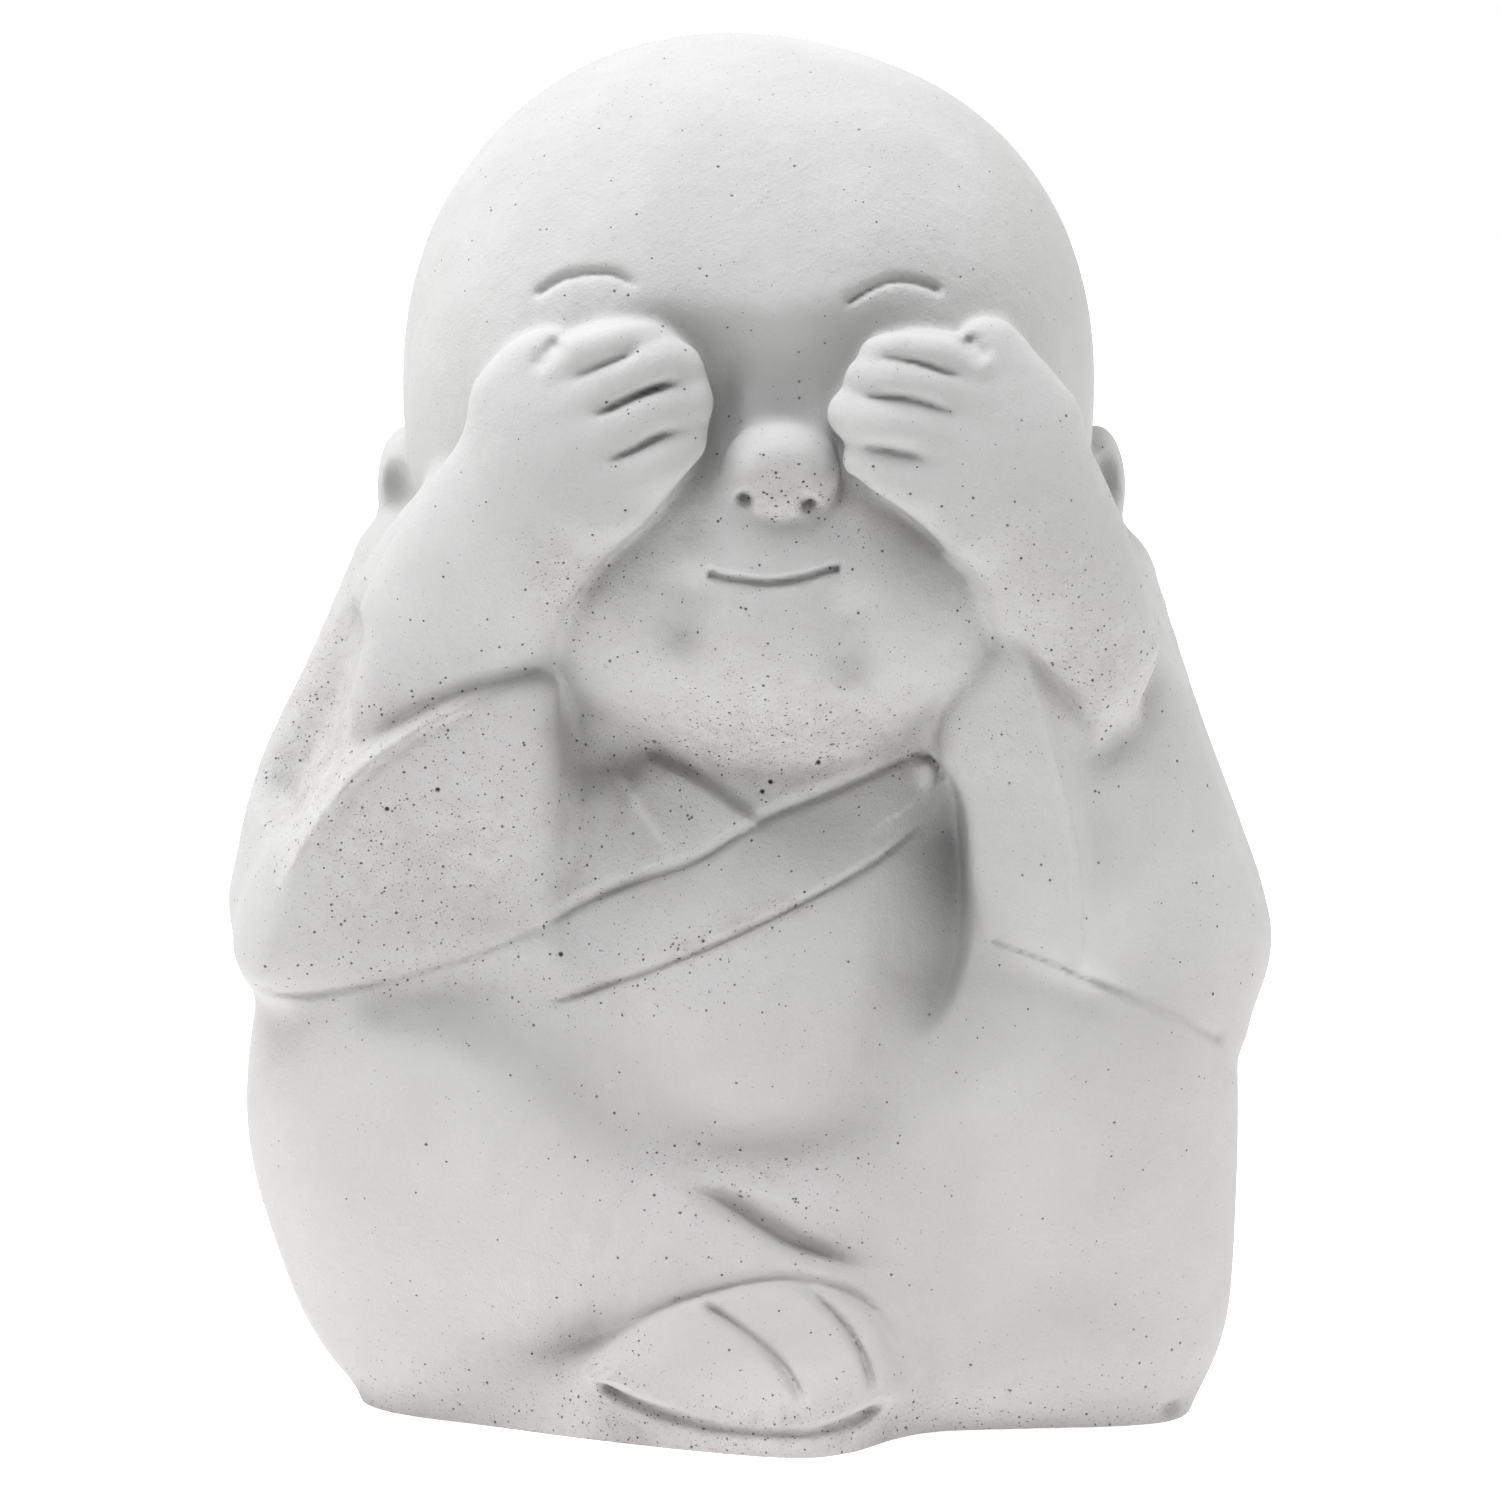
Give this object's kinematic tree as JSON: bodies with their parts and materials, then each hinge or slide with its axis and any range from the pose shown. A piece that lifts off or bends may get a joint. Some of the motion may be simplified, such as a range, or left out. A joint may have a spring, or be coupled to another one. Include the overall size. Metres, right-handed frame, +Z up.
{
  "type": "seated child monk statue",
  "caption": "Small cast concrete statue of a seated child monk covering the eyes with the hands, standing by its own weight on a flat underside.",
  "frame": {"origin": "on the flat underside, below the middle of the bounding box", "axes": "+Z up from the underside to the crown; -Y the way the figure faces; +X to the right of a viewer who looks at its front"},
  "size_m": [0.0682, 0.0472, 0.09],
  "materials": {
    "concrete": "matt cast concrete with fine pinholes"
  },
  "bodies": {
    "root": {"statue": "concrete"}
  },
  "joints": []
}
